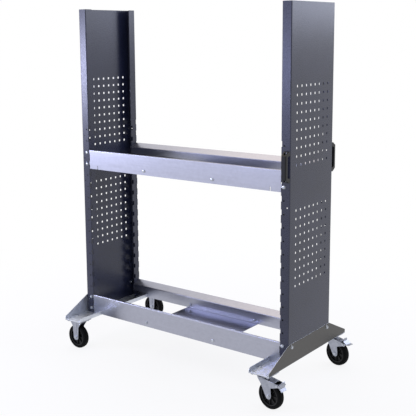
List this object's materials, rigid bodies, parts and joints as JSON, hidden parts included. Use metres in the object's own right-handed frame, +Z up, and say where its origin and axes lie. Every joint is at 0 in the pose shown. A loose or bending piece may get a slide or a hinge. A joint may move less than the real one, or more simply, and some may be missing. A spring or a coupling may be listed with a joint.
{
  "type": "tyre trolley",
  "caption": "Tyre trolley with perforated side panels, sloping tyre rails on two tiers, cross trays, push handles, and rigid and braked swivel casters.",
  "frame": {"origin": "on the floor, under the centre of the box round the whole trolley", "axes": "+X across the trolley towards the handles and the braked swivel casters, -Y the front, +Z up"},
  "size_m": [1.3326, 0.7, 1.752],
  "materials": {
    "panel_coat": "structured anthracite powder coat",
    "zinc_sheet": "galvanised sheet, satin",
    "zinc_foot": "galvanised sheet, dull",
    "caster_zinc": "bright zinc plate",
    "steel_fastener": "zinc-plated steel",
    "black_race": "black, greased",
    "black_plastic": "moulded, fine texture",
    "wheel_plastic": "moulded",
    "rubber": "black solid rubber"
  },
  "bodies": {
    "frame": {"side_panel_left": "panel_coat", "side_panel_right": "panel_coat", "upper_front_rail": "zinc_sheet", "upper_rear_rail": "zinc_sheet", "lower_front_rail": "zinc_sheet", "lower_rear_rail": "zinc_sheet", "upper_cross_tray": "zinc_sheet", "lower_cross_tray": "zinc_sheet", "foot_left": "zinc_foot", "foot_right": "zinc_foot", "push_handle_front": "black_plastic", "push_handle_rear": "black_plastic", "rail_bolts": "steel_fastener", "rail_nuts": "steel_fastener", "tray_bolts": "steel_fastener", "tray_nuts": "steel_fastener", "foot_bolts": "steel_fastener", "foot_nuts": "steel_fastener", "handle_screws": "steel_fastener", "handle_nuts": "steel_fastener", "caster_bolts": "steel_fastener", "caster_nuts": "steel_fastener", "front_rigid_bracket": "caster_zinc", "front_rigid_axle_bolt": "steel_fastener", "front_rigid_axle_nut": "steel_fastener", "front_rigid_axle_tube": "steel_fastener", "rear_rigid_bracket": "caster_zinc", "rear_rigid_axle_bolt": "steel_fastener", "rear_rigid_axle_nut": "steel_fastener", "rear_rigid_axle_tube": "steel_fastener", "front_swivel_plate": "caster_zinc", "front_swivel_race": "black_race", "front_swivel_balls": "steel_fastener", "front_king_pin": "steel_fastener", "rear_swivel_plate": "caster_zinc", "rear_swivel_race": "black_race", "rear_swivel_balls": "steel_fastener", "rear_king_pin": "steel_fastener"},
    "front_rigid_wheel": {"front_rigid_wheel_core": "wheel_plastic", "front_rigid_tyre": "rubber"},
    "rear_rigid_wheel": {"rear_rigid_wheel_core": "wheel_plastic", "rear_rigid_tyre": "rubber"},
    "front_swivel_fork": {"front_fork": "caster_zinc", "front_pedal_pin": "steel_fastener", "front_swivel_axle_bolt": "steel_fastener", "front_swivel_axle_nut": "steel_fastener", "front_swivel_axle_tube": "steel_fastener"},
    "front_swivel_wheel": {"front_swivel_wheel_core": "wheel_plastic", "front_swivel_tyre": "rubber"},
    "front_pedal": {"front_brake_pedal": "caster_zinc"},
    "rear_swivel_fork": {"rear_fork": "caster_zinc", "rear_pedal_pin": "steel_fastener", "rear_swivel_axle_bolt": "steel_fastener", "rear_swivel_axle_nut": "steel_fastener", "rear_swivel_axle_tube": "steel_fastener"},
    "rear_swivel_wheel": {"rear_swivel_wheel_core": "wheel_plastic", "rear_swivel_tyre": "rubber"},
    "rear_pedal": {"rear_brake_pedal": "caster_zinc"}
  },
  "joints": [
    {"name": "front_rigid_wheel_spin", "type": "hinge", "parent": "frame", "child": "front_rigid_wheel", "pos_m": [-0.60381, -0.3075, 0.0625], "axis": [0, 1, 0], "continuous": true},
    {"name": "rear_rigid_wheel_spin", "type": "hinge", "parent": "frame", "child": "rear_rigid_wheel", "pos_m": [-0.60381, 0.3075, 0.0625], "axis": [0, 1, 0], "continuous": true},
    {"name": "front_swivel", "type": "hinge", "parent": "frame", "child": "front_swivel_fork", "pos_m": [0.54519, -0.3075, 0.142], "axis": [0, 0, 1], "continuous": true},
    {"name": "front_swivel_wheel_spin", "type": "hinge", "parent": "front_swivel_fork", "child": "front_swivel_wheel", "pos_m": [0.58688, -0.31262, 0.0625], "axis": [0.1219, 0.9925, 0], "continuous": true},
    {"name": "front_brake_pedal_tilt", "type": "hinge", "parent": "front_swivel_fork", "child": "front_pedal", "pos_m": [0.63254, -0.31822, 0.12], "axis": [-0.1219, -0.9925, 0], "range_deg": [0, 45]},
    {"name": "rear_swivel", "type": "hinge", "parent": "frame", "child": "rear_swivel_fork", "pos_m": [0.54519, 0.3075, 0.142], "axis": [0, 0, 1], "continuous": true},
    {"name": "rear_swivel_wheel_spin", "type": "hinge", "parent": "rear_swivel_fork", "child": "rear_swivel_wheel", "pos_m": [0.58642, 0.29949, 0.0625], "axis": [0.1908, 0.9816, 0], "continuous": true},
    {"name": "rear_brake_pedal_tilt", "type": "hinge", "parent": "rear_swivel_fork", "child": "rear_pedal", "pos_m": [0.63158, 0.29071, 0.12], "axis": [-0.1908, -0.9816, 0], "range_deg": [-45, 0]}
  ]
}
